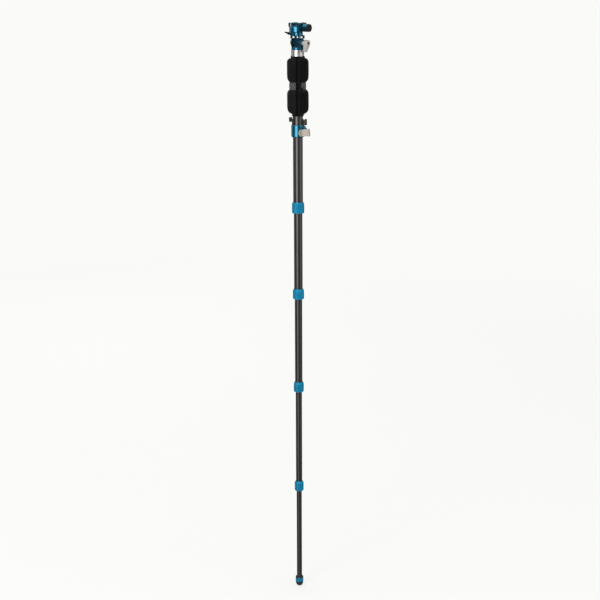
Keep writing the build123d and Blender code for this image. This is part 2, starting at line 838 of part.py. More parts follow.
def dovetail(direction, lip_x):
    """The groove's undercut side: a wedge that cuts below a lip and leaves the lip standing."""
    floor_z = head_base + pan_top
    lip_z = head_base + jaw_lip_bottom
    profile = make_face(Polyline(
        (0, floor_z),
        (lip_x + direction * dovetail_undercut, floor_z),
        (lip_x + direction * dovetail_undercut, lip_z - dovetail_undercut),
        (lip_x, lip_z),
        (lip_x, head_base + jaw_top + overrun),
        (0, head_base + jaw_top + overrun),
        close=True,
    ))
    return extrude(Plane.XZ * profile, jaw_half_length + overrun, both=True)


def pan_body():
    floor_z = head_base + pan_top
    drum = rod(pan_radius, head_base + pan_bottom, floor_z)
    drum = chamfer(drum.edges().filter_by(GeomType.CIRCLE), pan_edge)
    fixed_jaw = jaw_blank(-jaw_outer, pan_flat_x, floor_z - overrun, head_base + jaw_top)
    fixed_jaw -= dovetail(-1, fixed_lip_x)
    fixed_jaw -= block(0, jaw_outer, -pan_radius, pan_radius, floor_z, head_base + jaw_top + overrun)
    spindle = rod(spindle_radius, head_base + spindle_foot, head_base + pan_bottom + overrun)
    body = drum + fixed_jaw + spindle
    body -= block(pan_flat_x, pan_radius + overrun, -pan_radius, pan_radius, head_base, head_base + jaw_top)
    groove_top = head_base + pan_groove_z + pan_ring_height + running_gap
    groove = ring(spindle_radius + overrun, spindle_radius - pan_ring_depth,
                  head_base + pan_groove_z - running_gap, groove_top)
    body -= groove & rod(spindle_radius + overrun, head_base, head_base + housing_top)
    z = head_base + knob_z
    body -= x_rod(jaw_screw_radius + thread_gap, jaw_screw_tip - overrun, pan_flat_x + overrun, 0, z)
    for side in (-1, 1):
        body -= x_rod(guide_radius + running_gap, guide_tip - overrun, pan_flat_x + overrun,
                      side * guide_half_spacing, z)
    pin_y = -jaw_half_length + stop_pin_inset
    return body - Pos(stop_pin_x, pin_y, 0) * rod(stop_pin_radius / 2, floor_z - stop_pin_root, floor_z)


def stop_pin():
    floor_z = head_base + pan_top
    pin_y = -jaw_half_length + stop_pin_inset
    pin = rod(stop_pin_radius / 2, floor_z - stop_pin_root, floor_z)
    pin += rod(stop_pin_radius, floor_z, floor_z + stop_pin_height)
    return Pos(stop_pin_x, pin_y, 0) * pin


def clamp_jaw():
    z = head_base + knob_z
    inner = pan_flat_x + seat_gap
    plate = jaw_blank(inner, jaw_outer, head_base + jaw_foot, head_base + jaw_top)
    head = jaw_blank(moving_lip_x, jaw_outer, head_base + pan_top + seat_gap, head_base + jaw_top)
    jaw = plate + head
    jaw -= dovetail(1, moving_lip_x)
    jaw -= x_rod(jaw_screw_radius + running_gap, 0, jaw_outer + overrun, 0, z)
    for side in (-1, 1):
        jaw -= x_rod(guide_radius, 0, jaw_outer + overrun, side * guide_half_spacing, z)
        jaw -= Pos(moving_lip_x + jaw_pin_inset, side * jaw_pin_half_spacing, 0) * rod(
            jaw_pin_radius, head_base + jaw_top - jaw_pin_depth, head_base + jaw_top + overrun)
    return jaw


def jaw_pins():
    top = head_base + jaw_top
    pin = rod(jaw_pin_radius, top - jaw_pin_depth, top + jaw_pin_rise)
    pin = chamfer(pin.edges().group_by(Axis.Z)[-1], jaw_edge)
    x = moving_lip_x + jaw_pin_inset
    return Compound([Pos(x, side * jaw_pin_half_spacing, 0) * pin for side in (-1, 1)])


def guide_rods():
    z = head_base + knob_z
    return Compound([x_rod(guide_radius, guide_tip, jaw_outer, side * guide_half_spacing, z) for side in (-1, 1)])


def jaw_screw():
    return x_rod(jaw_screw_radius, jaw_screw_tip, knob_start + jaw_screw_in_knob, 0, head_base + knob_z)


def clamp_knob():
    z = head_base + knob_z
    waist = x_rod(knob_waist_radius, jaw_outer + seat_gap, knob_start + overrun, 0, z)
    grip = x_rod(knob_radius, knob_start, knob_split, 0, z)
    grip = chamfer(grip.edges().filter_by(GeomType.CIRCLE), knob_edge)
    hub = x_rod(knob_waist_radius, knob_split - overrun, knob_end - knob_edge, 0, z)
    bore_end = knob_start + jaw_screw_in_knob
    return waist + grip + hub - x_rod(jaw_screw_radius, 0, bore_end, 0, z)


def knob_grip():
    z = head_base + knob_z
    body = x_rod(knob_grip_radius, knob_split, knob_end, 0, z)
    body = chamfer(body.edges().filter_by(GeomType.CIRCLE).sort_by(Axis.X)[-1], knob_edge)
    body -= x_rod(knob_waist_radius, knob_split - overrun, knob_end - knob_edge, 0, z)
    for step in range(knob_ribs):
        angle = radians(step * 360 / knob_ribs)
        y = knob_grip_radius * cos(angle)
        rise = knob_grip_radius * sin(angle)
        body -= x_rod(knob_rib_radius, knob_split - overrun, knob_end + overrun, y, z + rise)
    return body


def make_clamp():
    save(pan_body(), "pan_body")
    save(stop_pin(), "groove_stop_pin")
    save(clamp_jaw(), "clamp_jaw")
    save(jaw_pins(), "jaw_pins")
    save(guide_rods(), "jaw_guide_rods")
    save(jaw_screw(), "jaw_screw")
    save(clamp_knob(), "clamp_knob")
    save(knob_grip(), "knob_grip")


make_leg()
make_foot()
make_swivel()
make_handle()
make_strap_clip()
make_tilt_head()
make_clamp()
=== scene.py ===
import json
import math

import bpy
from mathutils import Matrix, Vector, noise
from mathutils.bvhtree import BVHTree


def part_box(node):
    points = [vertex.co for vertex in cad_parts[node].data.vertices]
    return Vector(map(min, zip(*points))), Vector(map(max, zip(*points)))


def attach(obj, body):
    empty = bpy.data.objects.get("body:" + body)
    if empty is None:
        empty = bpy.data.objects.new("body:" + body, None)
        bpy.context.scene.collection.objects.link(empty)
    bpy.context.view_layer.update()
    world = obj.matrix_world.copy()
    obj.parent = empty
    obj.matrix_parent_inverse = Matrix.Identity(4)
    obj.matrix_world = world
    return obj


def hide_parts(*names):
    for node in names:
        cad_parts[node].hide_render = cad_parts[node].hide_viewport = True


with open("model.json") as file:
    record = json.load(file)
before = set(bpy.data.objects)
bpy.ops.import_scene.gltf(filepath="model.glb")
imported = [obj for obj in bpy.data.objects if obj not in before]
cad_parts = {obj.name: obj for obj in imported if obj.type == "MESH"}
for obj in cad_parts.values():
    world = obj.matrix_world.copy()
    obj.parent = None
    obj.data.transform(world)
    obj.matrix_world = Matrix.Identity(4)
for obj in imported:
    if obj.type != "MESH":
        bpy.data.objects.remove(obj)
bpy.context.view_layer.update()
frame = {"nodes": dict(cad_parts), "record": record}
nodes = frame["nodes"]
MM = 0.001


# Node helpers

MOST_NOISE = (0.3, 0.7)
MID_NOISE = (0.35, 0.65)


def toned(colour, share, most=1.0):
    """A darker or paler colour, with no channel above most."""
    return tuple(min(most, channel * share) for channel in colour)


class Nodes:
    """The node tree of a material or a world, with short calls for its nodes and links."""

    def __init__(self, owner, output):
        owner.use_nodes = True
        self.tree = owner.node_tree
        self.tree.nodes.clear()
        self.surface = self.node(output).inputs["Surface"]

    def node(self, kind, **values):
        made = self.tree.nodes.new(kind)
        for key, value in values.items():
            setattr(made, key, value)
        return made

    def put(self, socket, value):
        """Feeds a socket from another one, or gives it a plain value."""
        if isinstance(value, bpy.types.NodeSocket):
            self.tree.links.new(value, socket)
        elif socket.type == "RGBA":
            socket.default_value = (*value, 1.0)
        else:
            socket.default_value = value

    def math(self, operation, a, b=0.0):
        made = self.node("ShaderNodeMath", operation=operation)
        self.put(made.inputs[0], a)
        self.put(made.inputs[1], b)
        return made.outputs[0]

    def plus(self, a, b):
        return self.math("ADD", a, b)

    def minus(self, a, b):
        return self.math("SUBTRACT", a, b)

    def times(self, a, b):
        return self.math("MULTIPLY", a, b)

    def parts(self, vector):
        """The x, y and z of a vector."""
        made = self.node("ShaderNodeSeparateXYZ")
        self.put(made.inputs[0], vector)
        return made.outputs

    def spread(self, value, low, high, within=(0.0, 1.0), shape="LINEAR"):
        """Maps the values within a range to low to high, and holds them outside it."""
        made = self.node("ShaderNodeMapRange", interpolation_type=shape)
        self.put(made.inputs["Value"], value)
        for key, limit in zip(("From Min", "From Max", "To Min", "To Max"), (*within, low, high)):
            made.inputs[key].default_value = limit
        return made.outputs["Result"]

    def ramp(self, factor, stops):
        """Colours by a factor, from (place, colour) stops of which the first is at 0."""
        made = self.node("ShaderNodeValToRGB")
        self.put(made.inputs["Fac"], factor)
        elements = made.color_ramp.elements
        elements.remove(elements[-1])
        for place, colour in stops:
            stop = elements.new(place) if place else elements[0]
            stop.color = (*colour, 1.0)
        return made.outputs["Color"]

    def mix(self, factor, a, b):
        """Colour a, and colour b by the factor."""
        made = self.node("ShaderNodeMix", data_type="RGBA")
        for place, value in ((0, factor), (6, a), (7, b)):
            self.put(made.inputs[place], value)
        return made.outputs[2]

    def blend(self, factor, a, b):
        """Shader a, and shader b by the factor."""
        made = self.node("ShaderNodeMixShader")
        for socket, value in zip(made.inputs, (factor, a, b)):
            self.put(socket, value)
        return made.outputs[0]

    def source(self, kind, **values):
        """A light-giving or plain shader with these inputs."""
        made = self.node(kind)
        for key, value in values.items():
            self.put(made.inputs[key], value)
        return made.outputs[0]


class Shader(Nodes):
    """A material with one principled shader. Lengths are in millimetres."""

    def __init__(self, name):
        self.material = bpy.data.materials.new(name)
        super().__init__(self.material, "ShaderNodeOutputMaterial")
        self.bsdf = self.node("ShaderNodeBsdfPrincipled")
        self.put(self.surface, self.bsdf.outputs[0])
        self.coords = self.node("ShaderNodeTexCoord").outputs["Object"]

    def set(self, **values):
        for key, value in values.items():
            self.put(self.bsdf.inputs[key.replace("_", " ")], value)

    def noise(self, scale, detail=3.0, rough=0.55, vector=None):
        made = self.node("ShaderNodeTexNoise")
        values = {"Vector": vector or self.coords, "Scale": scale, "Detail": detail, "Roughness": rough}
        for key, value in values.items():
            self.put(made.inputs[key], value)
        return made.outputs["Fac"]

    def streaks(self, scales, detail, rough):
        """Noise with a scale of its own along each axis."""
        made = self.node("ShaderNodeVectorMath", operation="MULTIPLY")
        self.put(made.inputs[0], self.coords)
        self.put(made.inputs[1], scales)
        return self.noise(1.0, detail, rough, made.outputs[0])

    def cloudy(self, low, high, scale, detail=3.0):
        """A value that drifts between low and high over the surface."""
        return self.spread(self.noise(scale, detail), low, high, MOST_NOISE)

    def bump(self, height, depth, strength, normal=None):
        made = self.node("ShaderNodeBump")
        self.put(made.inputs["Strength"], strength)
        self.put(made.inputs["Distance"], depth * MM)
        self.put(made.inputs["Height"], height)
        if normal:
            self.put(made.inputs["Normal"], normal)
        return made.outputs["Normal"]

    def soft_edge(self, radius):
        """A normal that rounds the edges off."""
        made = self.node("ShaderNodeBevel", samples=6)
        self.put(made.inputs["Radius"], radius * MM)
        return made.outputs["Normal"]

    def edge_mask(self, radius):
        """1 near the edges of a solid and 0 on its faces."""
        geometry = self.node("ShaderNodeNewGeometry")
        dot = self.node("ShaderNodeVectorMath", operation="DOT_PRODUCT")
        self.put(dot.inputs[0], self.soft_edge(radius))
        self.put(dot.inputs[1], geometry.outputs["Normal"])
        return self.spread(dot.outputs["Value"], 1.0, 0.0, within=(0.8, 1.0))


# Materials

def metal(name, colour, edge_wear_and_highlight_colour, roughness, line_axis=2, line_depth=0.004, grain=0.006, film=0.0,
          metallic=1.0):
    """Machined metal: fine tool lines across one axis, small colour and gloss changes, and paler edges,
    partly bare chamfers and partly painted highlight.
    """
    s = Shader(name)
    shade = s.mix(s.cloudy(0.0, 1.0, scale=45.0), toned(colour, 0.9), toned(colour, 1.1))
    # Paler edges: bare metal on the chamfers, and a painted highlight along every edge.
    patches = s.spread(s.noise(260.0, detail=2.0), 0.15, 0.6, MID_NOISE)
    wear_and_edge_highlight = s.times(s.edge_mask(0.5), patches)
    s.set(Base_Color=s.mix(wear_and_edge_highlight, shade, edge_wear_and_highlight_colour), Metallic=metallic)
    s.set(Roughness=s.cloudy(roughness - 0.05, roughness + 0.07, scale=90.0, detail=4.0))
    line_scales = [60.0, 60.0, 60.0]
    line_scales[line_axis] = 9000.0
    lines = s.streaks(line_scales, detail=2.0, rough=0.7)
    lined = s.bump(lines, line_depth, 0.5, s.soft_edge(0.35))
    s.set(Normal=s.bump(s.noise(3500.0, detail=2.0), grain, 0.4, lined))
    s.set(Coat_Weight=film, Coat_Roughness=roughness * 0.6, Coat_IOR=1.6)
    return s.material


def cast_metal(name, colour, rim=1.1):
    """Blasted casting under thin satin paint: an even grain, painted shade in its hollows, and brighter
    edges that are partly wear and partly painted highlight.
    """
    s = Shader(name)
    shade = s.mix(s.cloudy(0.0, 1.0, scale=60.0), toned(colour, 0.9), colour)
    # Painted shade: the colour darkens in hollows and recesses, where shade falls.
    hollow_shade = s.node("ShaderNodeAmbientOcclusion", samples=4)
    s.put(hollow_shade.inputs["Distance"], 12.0 * MM)
    openness = s.spread(hollow_shade.outputs["AO"], 0.0, 1.0, within=(0.25, 0.9))
    shade = s.mix(openness, toned(colour, 0.12), shade)
    # Brighter edges: partly wear, partly a painted highlight.
    patches = s.spread(s.noise(300.0, detail=2.0), 0.6, 1.0, MID_NOISE)
    wear_and_edge_highlight = s.times(s.edge_mask(rim), patches)
    s.set(Base_Color=s.mix(wear_and_edge_highlight, shade, toned(colour, 2.4, most=0.85)), Metallic=0.35)
    s.set(Roughness=s.cloudy(0.34, 0.48, scale=150.0, detail=4.0))
    s.set(Normal=s.bump(s.noise(2600.0), 0.02, 0.5, s.soft_edge(0.5)))
    return s.material


def carbon(name, radius, tow=2.1):
    """Twill-woven carbon under clear lacquer, wrapped round a tube of this radius."""
    twill = 4
    always_positive = 40000.0
    strand_waves = 62.8
    s = Shader(name)
    tows_round = twill * round(2 * math.pi * radius / tow / twill)
    x, y, z = s.parts(s.coords)
    u = s.times(s.math("ARCTAN2", y, x), tows_round / (2 * math.pi))
    v = s.times(z, 1.0 / (tow * MM))
    diagonal = s.plus(s.math("FLOOR", u), s.math("FLOOR", v))
    step = s.math("MODULO", s.plus(diagonal, always_positive), float(twill))
    upright = s.math("LESS_THAN", step, 1.5)
    level = s.minus(1.0, upright)
    side = s.plus(s.times(upright, s.math("FRACT", u)), s.times(level, s.math("FRACT", v)))
    off_middle = s.math("ABSOLUTE", s.minus(s.times(side, 2.0), 1.0))
    crown = s.minus(1.0, s.math("POWER", off_middle, 2.0))
    strands = s.times(s.math("SINE", s.times(side, strand_waves)), 0.05)
    # The two tow directions differ in colour: painted reflection, standing in for the different sheen of
    # crossing tows.
    tow_reflection_tone = s.mix(upright, (0.0135, 0.0115, 0.0100), (0.0080, 0.0068, 0.0060))
    warmth = s.spread(s.streaks((70.0, 70.0, 9.0), detail=3.0, rough=0.5), 0.0, 0.5, within=(0.35, 0.7))
    s.set(Base_Color=s.mix(warmth, tow_reflection_tone, (0.021, 0.016, 0.0125)), Metallic=0.12)
    s.set(Roughness=s.spread(upright, 0.44, 0.34), Specular_IOR_Level=0.4)
    s.set(Coat_Weight=1.0, Coat_Roughness=0.05, Coat_IOR=1.64)
    s.set(Normal=s.bump(s.plus(crown, strands), 0.035, 0.4))
    s.set(Coat_Normal=s.bump(s.streaks((60.0, 60.0, 20.0), detail=2.0, rough=0.5), 0.30, 0.8))
    return s.material


def knit(name, dark, light, stitch=1.1, heather=0.0):
    """A fine knitted face on foam: offset rows of small loops, a soft nap and uneven dye."""
    mean_radius = 30.0
    s = Shader(name)
    x, y, z = s.parts(s.coords)
    columns = s.times(s.math("ARCTAN2", y, x), mean_radius / stitch)
    rows = s.times(z, 1.0 / (stitch * MM))
    zigzag = s.times(s.math("ABSOLUTE", s.minus(s.math("FRACT", rows), 0.5)), 0.9)
    lean = s.plus(columns, zigzag)
    loops = s.math("ABSOLUTE", s.math("SINE", s.times(lean, math.pi)))
    ridges = s.times(s.math("ABSOLUTE", s.math("SINE", s.times(rows, math.pi))), 0.6)
    height = s.plus(loops, ridges)
    broad = s.noise(38.0, detail=4.0)
    tone = s.mix(s.spread(broad, 0.0, 1.0, MOST_NOISE), dark, light)
    if heather:
        fibres = s.streaks((1500.0, 1500.0, 420.0), detail=3.0, rough=0.7)
        tone = s.mix(s.spread(fibres, 0.0, 1.0, within=(0.44, 0.58)), toned(dark, 0.3), tone)
        flecks = s.streaks((900.0, 900.0, 260.0), detail=2.0, rough=0.6)
        tone = s.mix(s.spread(flecks, 0.0, heather, within=(0.6, 0.68)), tone, toned(light, 2.0))
    shadow = s.spread(height, 0.35, 0.0, within=(0.2, 1.3))
    s.set(Base_Color=s.mix(shadow, tone, (0.002, 0.002, 0.002)))
    s.set(Roughness=s.spread(broad, 0.78, 0.92, MOST_NOISE))
    s.set(Sheen_Weight=0.035, Sheen_Roughness=0.4, Specular_IOR_Level=0.09)
    crease = s.bump(s.streaks((95.0, 95.0, 60.0), detail=4.0, rough=0.6), 0.5, 0.35)
    s.set(Normal=s.bump(height, 0.12, 0.6, crease))
    return s.material


def rubber(name, colour, roughness=0.6):
    """Moulded rubber with a little dust on it."""
    s = Shader(name)
    dusty = tuple(channel * 3.0 + 0.01 for channel in colour)
    dust = s.spread(s.noise(130.0, detail=5.0, rough=0.65), 0.0, 0.35, within=(0.45, 0.8))
    s.set(Base_Color=s.mix(dust, colour, dusty), Specular_IOR_Level=0.4)
    s.set(Roughness=s.cloudy(roughness - 0.08, roughness + 0.12, scale=60.0))
    s.set(Normal=s.bump(s.noise(900.0), 0.03, 0.5, s.soft_edge(0.4)))
    return s.material


def plastic(name, colour, roughness=0.45, texture=0.02):
    """Moulded plastic with a fine spark-eroded texture."""
    s = Shader(name)
    s.set(Base_Color=s.mix(s.cloudy(0.0, 1.0, scale=70.0), toned(colour, 0.85), toned(colour, 1.15)))
    s.set(Roughness=s.cloudy(roughness - 0.05, roughness + 0.1, scale=180.0, detail=4.0))
    cells = s.node("ShaderNodeTexVoronoi", feature="SMOOTH_F1")
    s.put(cells.inputs["Vector"], s.coords)
    s.put(cells.inputs["Scale"], 2200.0)
    s.set(Normal=s.bump(cells.outputs["Distance"], texture, 0.4, s.soft_edge(0.4)))
    return s.material


def thread(name, colour):
    """Twisted sewing thread."""
    s = Shader(name)
    strands = s.streaks((2600.0, 2600.0, 900.0), detail=2.0, rough=0.6)
    s.set(Base_Color=s.mix(s.spread(strands, 0.0, 1.0, MID_NOISE), toned(colour, 0.6), colour))
    s.set(Roughness=0.6, Sheen_Weight=0.3, Sheen_Roughness=0.4)
    s.set(Normal=s.bump(strands, 0.05, 0.6))
    return s.material


# The second colour given to each metal is for its paler edges: partly bare chamfers, partly painted
# highlight.
blue = metal("blue_anodised", (0.003, 0.225, 0.370), (0.30, 0.64, 0.74), 0.28, film=0.8)
blue_crosswise = metal("blue_anodised_milled", (0.003, 0.175, 0.290), (0.34, 0.68, 0.76), 0.28,
                       line_axis=0, film=0.7)
blue_blasted = metal("blue_anodised_blasted", (0.001, 0.205, 0.370), (0.04, 0.38, 0.55), 0.50,
                     grain=0.012, metallic=0.55)
dark_steel = metal("dark_steel", (0.045, 0.045, 0.045), (0.22, 0.22, 0.22), 0.38)
grip_knit = knit("grip_fabric", (0.0042, 0.0038, 0.0040), (0.0076, 0.0069, 0.0072))
flap_knit = knit("flap_fabric", (0.0018, 0.0017, 0.0016), (0.0034, 0.0032, 0.0030), 0.8)
waist_knit = knit("waist_fabric", (0.062, 0.057, 0.058), (0.132, 0.123, 0.124), 1.2, heather=0.7)
# Near black: the hems' own binding, and the strip of painted shadow beside the flap's free edge.
hem_and_shadow_binding_knit = knit("hem_and_shadow_binding_fabric", (0.0009, 0.0009, 0.0009), (0.0018, 0.0018, 0.0018), 0.6)
seam_thread = thread("seam_thread", (0.030, 0.029, 0.028))

slot_materials = {
    "blue_anodised": blue,
    "silver_aluminium": metal("silver_aluminium", (0.82, 0.775, 0.75), (0.93, 0.92, 0.90), 0.34,
                              line_depth=0.01),
    "lever_metal": cast_metal("lever_metal", (0.46, 0.43, 0.40)),
    "steel": metal("steel", (0.52, 0.51, 0.49), (0.78, 0.78, 0.77), 0.24, line_depth=0.008),
    "dark_steel": dark_steel,
    "black_plastic": plastic("black_plastic", (0.016, 0.015, 0.015)),
    "guide_plastic": plastic("guide_plastic", (0.55, 0.54, 0.50), 0.5),
    "black_rubber": rubber("black_rubber", (0.012, 0.012, 0.012)),
    "grip_fabric": grip_knit,
    "waist_fabric": waist_knit,
}
node_materials = {
    # The swivel lever's wide bright rim: partly wear, mostly a painted highlight on its hub's rounded edge.
    "swivel_lever": cast_metal("lever_metal_worn_lit_rim", (0.30, 0.27, 0.235), rim=2.2),
    "knob_grip": rubber("knob_rubber", (0.0045, 0.0045, 0.0050), 0.4),
    "foot_ring": blue_blasted,
    "strap_tab": dark_steel,
    "tilt_axle": dark_steel,
}
milled = ("clamp_jaw", "tilt_block", "head_yoke", "clamp_knob")
node_materials.update({name: blue_crosswise for name in milled})
node_materials.update({f"lock_collar_{number}": blue_blasted for number in range(1, 5)})
for entry in frame["record"]["subparts"]:
    name = entry["node"]
    if entry["material_slot"] == "carbon_tube":
        low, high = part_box(name)
        chosen = carbon("carbon_" + name, (high[0] - low[0]) / 2 / MM)
    else:
        chosen = node_materials.get(name) or slot_materials[entry["material_slot"]]
    nodes[name].data.materials.clear()
    nodes[name].data.materials.append(chosen)


# The padded sleeve's sizes, in millimetres, from the frame's and what the soft pieces add to them

LOW, HIGH = 0, 1
X, Z = 0, 2


def measure(node, corner, axis, added=0.0):
    """One coordinate of a node's box in millimetres, and what is added to it."""
    return round(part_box(node)[corner][axis] / MM + added, 2)


TUBE_R = measure("handle_tube", HIGH, X)
GRIP_LOW = measure("grip_lower_pad", LOW, Z)
GRIP_HIGH = measure("grip_upper_pad", HIGH, Z, added=1.1)
WAIST_LOW = measure("grip_waist_band", LOW, Z, added=-0.8)
WAIST_HIGH = measure("grip_waist_band", HIGH, Z, added=2.0)
WAIST_R = measure("grip_waist_band", HIGH, X, added=0.75)
CROWN_R = measure("grip_upper_pad", HIGH, X, added=0.46)
LOW_END_R = measure("handle_tube", HIGH, X, added=2.2)
HIGH_END_R = measure("handle_tube", HIGH, X, added=5.35)
GRIP_MIDDLE = (GRIP_LOW + GRIP_HIGH) / 2
WAIST_MIDDLE = (WAIST_LOW + WAIST_HIGH) / 2
INNER_R = TUBE_R + 0.05
FOAM_REACH = 1.5

# Places round the sleeve: an angle called turn, or a distance called u from the photograph's side
FRONT = math.radians(-53.0)
SEAM_U = 1.4
GROOVE_U = -0.4
# Where the strip of painted shadow beside the flap's free edge starts.
SHADOW_BAND_U = -6.4

HEM = 6.2
WAIST_SHARES = ((0.0, 0.0), (0.16, 0.4), (0.32, 0.72), (0.54, 0.92), (1.0, 1.0))
HEM_SHARES = ((0.0, 0.0), (0.12, 0.45), (0.3, 0.75), (0.55, 0.93), (1.0, 1.0))
SHOULDER_STEPS = 4
CROWN_STEP = 3.0
WALL_STEP = 6.0
SEGMENTS = 84
GROOVE_WIDTH = 2.0
DIP_WIDTH = 7.0
DIP_SHARE = 0.5
CLOTH_FRAMES = 20


# Mesh helpers

def polar(radius, turn, z):
    """A place in metres, from millimetres and an angle."""
    return Vector((radius * math.cos(turn), radius * math.sin(turn), z)) * MM


def ring_faces(sections, count):
    """Faces of a closed ring through sections of count points each."""
    faces = []
    for i in range(sections):
        j = (i + 1) % sections
        for k in range(count):
            m = (k + 1) % count
            faces.append((i * count + k, j * count + k, j * count + m, i * count + m))
    return faces


def rod_faces(sections, count, base=0):
    """Faces of a rod through sections of count points each, with its ends closed."""
    faces = []
    for i in range(sections - 1):
        here = base + i * count
        for k in range(count):
            m = (k + 1) % count
            faces.append((here + k, here + m, here + count + m, here + count + k))
    faces.append(tuple(base + k for k in range(count - 1, -1, -1)))
    faces.append(tuple(base + (sections - 1) * count + k for k in range(count)))
    return faces


def smooth_path(points, steps):
    """Points on a smooth line through the given points."""
    path = []
    for i in range(len(points) - 1):
        p0 = Vector(points[max(i - 1, 0)])
        p1 = Vector(points[i])
        p2 = Vector(points[i + 1])
        p3 = Vector(points[min(i + 2, len(points) - 1)])
        for k in range(steps):
            t = k / steps
            path.append(0.5 * (2 * p1 + (p2 - p0) * t + (2 * p0 - 5 * p1 + 4 * p2 - p3) * t * t
                               + (3 * p1 - p0 - 3 * p2 + p3) * t ** 3))
    path.append(Vector(points[-1]))
    return path


def link_object(name, verts, faces, material):
    mesh = bpy.data.meshes.new(name)
    mesh.from_pydata([tuple(v) for v in verts], [], faces)
    mesh.validate()
    mesh.shade_smooth()
    mesh.materials.append(material)
    made = bpy.data.objects.new(name, mesh)
    bpy.context.scene.collection.objects.link(made)
    return made


def apply_modifiers(obj):
    evaluated = obj.evaluated_get(bpy.context.evaluated_depsgraph_get())
    mesh = bpy.data.meshes.new_from_object(evaluated)
    obj.modifiers.clear()
    old = obj.data
    obj.data = mesh
    mesh.name = obj.name
    bpy.data.meshes.remove(old)
    mesh.shade_smooth()


def subdivide(obj):
    smoother = obj.modifiers.new("subdivision", "SUBSURF")
    smoother.levels = 1
    smoother.render_levels = 1
    apply_modifiers(obj)


# The sleeve's pads and waist band

def shoulder(end_r, end_z, crown_z, shares):
    """A rounded shoulder from a narrow end to the crown, through (share along, share out) points."""
    rise = CROWN_R - end_r
    height = crown_z - end_z
    points = [(end_r + rise * out, end_z + height * along) for along, out in shares]
    return smooth_path(points, SHOULDER_STEPS)


def pad_profile(hem_r, hem_z, hem_shoulder, waist_z, waist_shoulder):
    """The pad's outline from its open end with a flat hem to its waist end, listed upwards."""
    up = 1.0 if hem_z < waist_z else -1.0
    hem_crown_z = hem_z + up * hem_shoulder
    waist_crown_z = waist_z - up * waist_shoulder
    path = [Vector((hem_r, hem_z)), Vector((hem_r, hem_z + up * HEM * 0.5))]
    path += shoulder(hem_r, hem_z + up * HEM, hem_crown_z, HEM_SHARES)
    gap = waist_crown_z - hem_crown_z
    count = max(1, round(abs(gap) / CROWN_STEP))
    path += [Vector((CROWN_R, hem_crown_z + gap * k / count)) for k in range(1, count)]
    path += shoulder(WAIST_R, waist_z, waist_crown_z, WAIST_SHARES)[::-1]
    return path if up > 0 else path[::-1]


def band_profile(bulge=0.95, steps=8):
    """The waist band's outline, bulging a little, with its ends under the pads' ends."""
    tucked_in = 0.2
    overlap = 0.6
    low = WAIST_LOW - overlap
    height = WAIST_HIGH - WAIST_LOW + 2 * overlap
    return [Vector((WAIST_R - tucked_in + bulge * math.sin(math.pi * k / steps), low + height * k / steps))
            for k in range(steps + 1)]


def from_groove(turn):
    """The distance round the crown from the groove beside the flap's free edge."""
    off = (turn - FRONT - GROOVE_U / CROWN_R + math.pi) % (2 * math.pi) - math.pi
    return off * CROWN_R


def ring_mesh(name, profile, material, groove_depth, shrink=0.0):
    """A closed ring turned from an outer profile, with a sunken groove down its front."""
    loop = [Vector((p.x - shrink, p.y)) for p in profile]
    top = loop[-1].y
    fall = loop[0].y - top
    count = max(2, round(-fall / WALL_STEP))
    loop += [Vector((INNER_R, top + fall * k / count)) for k in range(count + 1)]
    verts = []
    for i in range(SEGMENTS):
        turn = FRONT + 2 * math.pi * i / SEGMENTS
        along = from_groove(turn)
        groove = math.exp(-(along / GROOVE_WIDTH) ** 2)
        dip = DIP_SHARE * math.exp(-(along / DIP_WIDTH) ** 2) if along < 0.0 else 0.0
        for k, p in enumerate(loop):
            sink = groove_depth * (groove + dip) if k < len(profile) else 0.0
            verts.append(polar(p.x - sink, turn, p.y))
    return link_object(name, verts, ring_faces(SEGMENTS, len(loop)), material)


def inflate(obj, ends, reach, pressure):
    """Blows the ring up as cloth held at its ends, groove and inner wall, and limits how far it moves."""
    start = [v.co.copy() for v in obj.data.vertices]
    end_hold = 2.5
    groove_hold = 2.6
    group = obj.vertex_groups.new(name="held")
    for v in obj.data.vertices:
        on_wall = math.hypot(v.co.x, v.co.y) / MM < TUBE_R + FOAM_REACH
        at_end = min(abs(v.co.z / MM - end) for end in ends) < end_hold
        in_groove = abs(from_groove(math.atan2(v.co.y, v.co.x))) < groove_hold
        group.add([v.index], 1.0 if on_wall or at_end or in_groove else 0.0, "REPLACE")
    cloth = obj.modifiers.new("cloth", "CLOTH")
    settings = cloth.settings
    settings.vertex_group_mass = "held"
    settings.quality = 6
    settings.mass = 0.3
    settings.tension_stiffness = 18.0
    settings.compression_stiffness = 18.0
    settings.shear_stiffness = 8.0
    settings.bending_stiffness = 1.2
    settings.use_pressure = True
    settings.uniform_pressure_force = pressure
    settings.effector_weights.gravity = 0.0
    cloth.point_cache.frame_start = 1
    cloth.point_cache.frame_end = CLOTH_FRAMES
    for number in range(1, CLOTH_FRAMES + 1):
        bpy.context.scene.frame_set(number)
    apply_modifiers(obj)
    bpy.context.scene.frame_set(1)
    limit = reach * MM
    for v, was in zip(obj.data.vertices, start):
        move = v.co - was
        if move.length > limit:
            move = move * (limit / move.length)
        v.co = was + move
    obj.vertex_groups.clear()


def crumple(obj, amount):
    """Small uneven dents in the foam, none where it is held."""
    full_thickness = 9.0
    broad_scale = 45.0
    height_scale = 30.0
    finer = 2.7
    for v in obj.data.vertices:
        r = math.hypot(v.co.x, v.co.y)
        if r < (TUBE_R + FOAM_REACH) * MM:
            continue
        place = Vector((v.co.x * broad_scale, v.co.y * broad_scale, v.co.z * height_scale))
        broad = noise.noise(place)
        fine = noise.noise(place * finer + Vector((3.1, 7.7, 1.3)))
        fade = min(1.0, (r / MM - TUBE_R) / full_thickness)
        push = (broad * 0.75 + fine * 0.35) * amount * fade * MM
        scale = 1.0 + push / r
        v.co.x *= scale
        v.co.y *= scale


